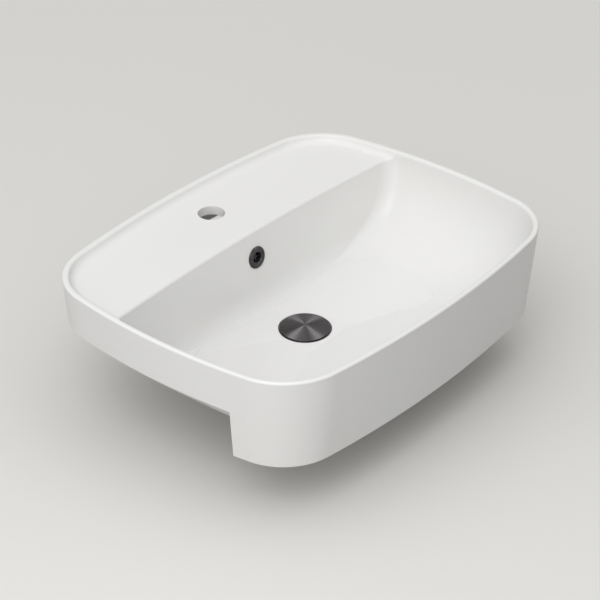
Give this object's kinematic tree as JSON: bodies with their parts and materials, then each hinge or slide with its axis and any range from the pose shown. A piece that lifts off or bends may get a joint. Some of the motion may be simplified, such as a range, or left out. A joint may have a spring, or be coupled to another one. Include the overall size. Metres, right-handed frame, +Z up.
{
  "type": "semi recessed basin",
  "caption": "Semi recessed white ceramic basin with a tap ledge, front apron, overflow trim and a push-open waste.",
  "frame": {"origin": "on the flat underside of the rear skirt, halfway through its wall, on the middle plane, where the basin sits on the bench", "axes": "+X to the right for a person at the basin, +Y to the back where the tap stands, +Z up"},
  "size_m": [0.5496, 0.4346, 0.196],
  "materials": {
    "glazed_white_china": "white gloss glaze",
    "gunmetal_trim": "dark satin plating",
    "gunmetal_brass": "dark plating, spun satin on the cap",
    "plain_brass": "bare machined",
    "stainless_steel": "bare wire and strip",
    "black_rubber": "matt",
    "black_plastic": "moulded, matt",
    "white_plastic": "moulded, matt"
  },
  "bodies": {
    "basin": {"basin": "glazed_white_china", "overflow_ring": "gunmetal_trim", "overflow_clip": "black_plastic", "flange_gasket": "black_rubber", "waste_body": "gunmetal_brass", "lower_washer": "black_rubber", "slip_washer": "white_plastic", "backnut": "plain_brass", "cartridge_housing": "white_plastic", "cartridge_sleeve": "white_plastic", "return_spring": "stainless_steel"},
    "plug": {"plug_cap": "gunmetal_brass", "plug_core": "black_plastic", "plug_seal": "black_rubber", "plug_spindle": "plain_brass", "lock_nut": "plain_brass", "retaining_ring": "stainless_steel"},
    "rotor": {"cam_rotor": "black_plastic"}
  },
  "joints": [
    {"name": "plug_travel", "type": "slide", "parent": "basin", "child": "plug", "axis": [0, 0, 1], "range_m": [0, 0.01], "deforming": ["return_spring"]},
    {"name": "rotor_turn", "type": "hinge", "parent": "plug", "child": "rotor", "pos_m": [0, -0.20817, -0.102], "axis": [0, 0, 1], "range_deg": [0, 45]}
  ],
  "couplings": [
    {"joint": "rotor_turn", "follows": "plug_travel", "rad_per_m": 78.5}
  ]
}
